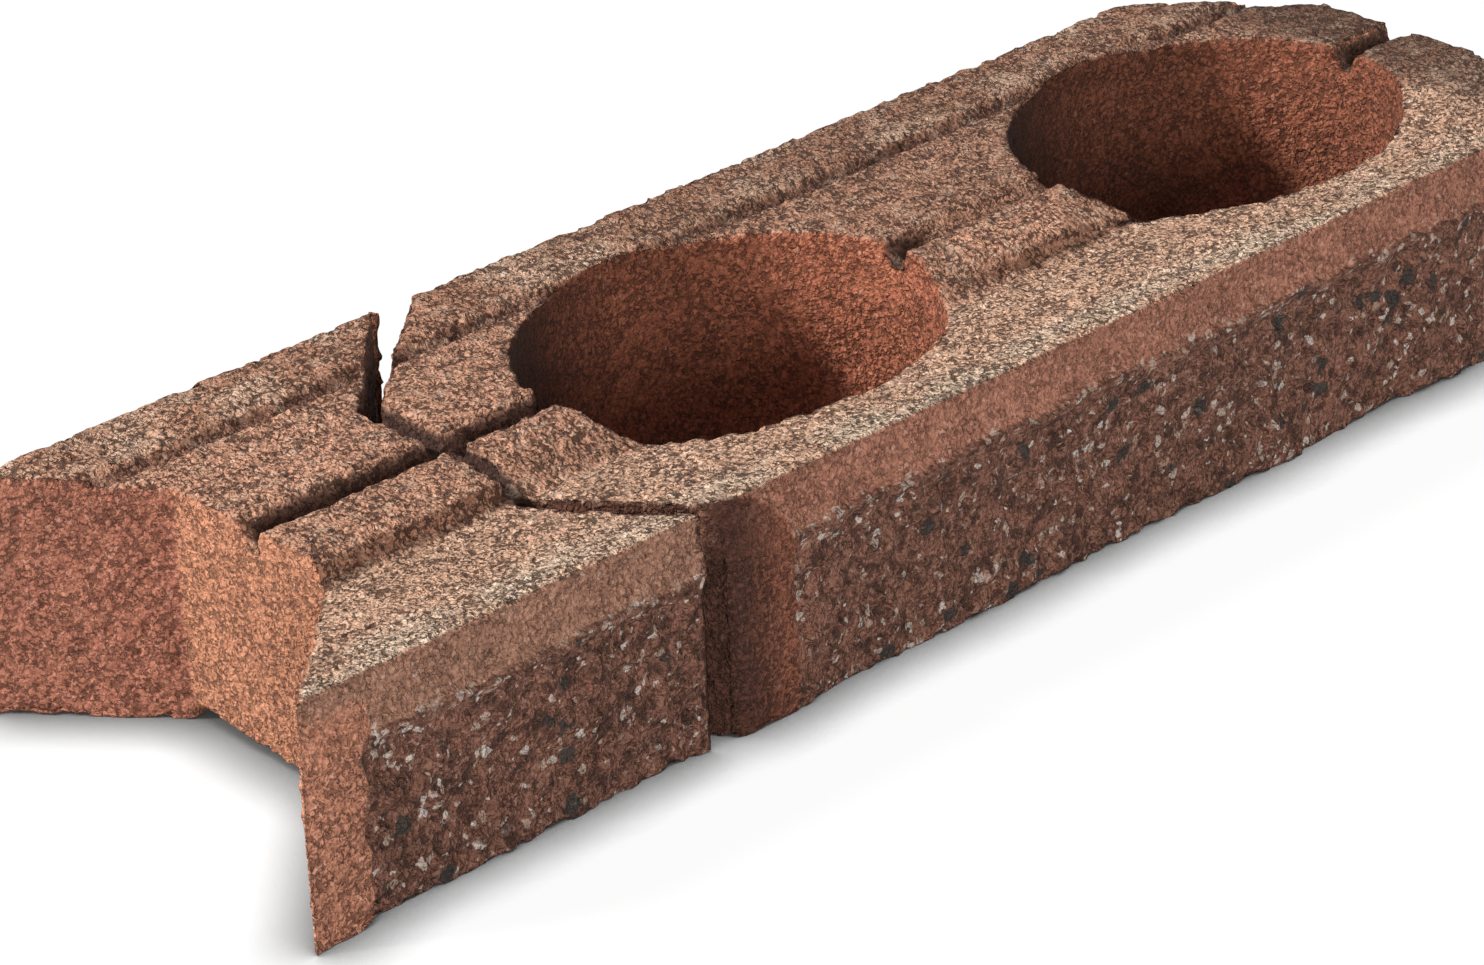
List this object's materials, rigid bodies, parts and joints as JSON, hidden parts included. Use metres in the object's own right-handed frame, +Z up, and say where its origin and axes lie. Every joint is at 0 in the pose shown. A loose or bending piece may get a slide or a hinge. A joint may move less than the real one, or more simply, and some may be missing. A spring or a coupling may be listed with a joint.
{
  "type": "concrete wall block",
  "caption": "Long cast concrete wall block with a split rough face, oval cores through its height, score grooves for splitting, and a recess and nose that key it to its neighbours.",
  "frame": {"origin": "bottom centre of the bounding box, on the bed the block rests on", "axes": "+X along the block from the recessed left end to the nose at the right, +Y from the rough face to the rear, +Z up"},
  "size_m": [0.724, 0.225, 0.103],
  "materials": {
    "concrete": "rough, open-textured dry-cast concrete, reddish brown"
  },
  "bodies": {
    "root": {"wall_block": "concrete"}
  },
  "joints": []
}
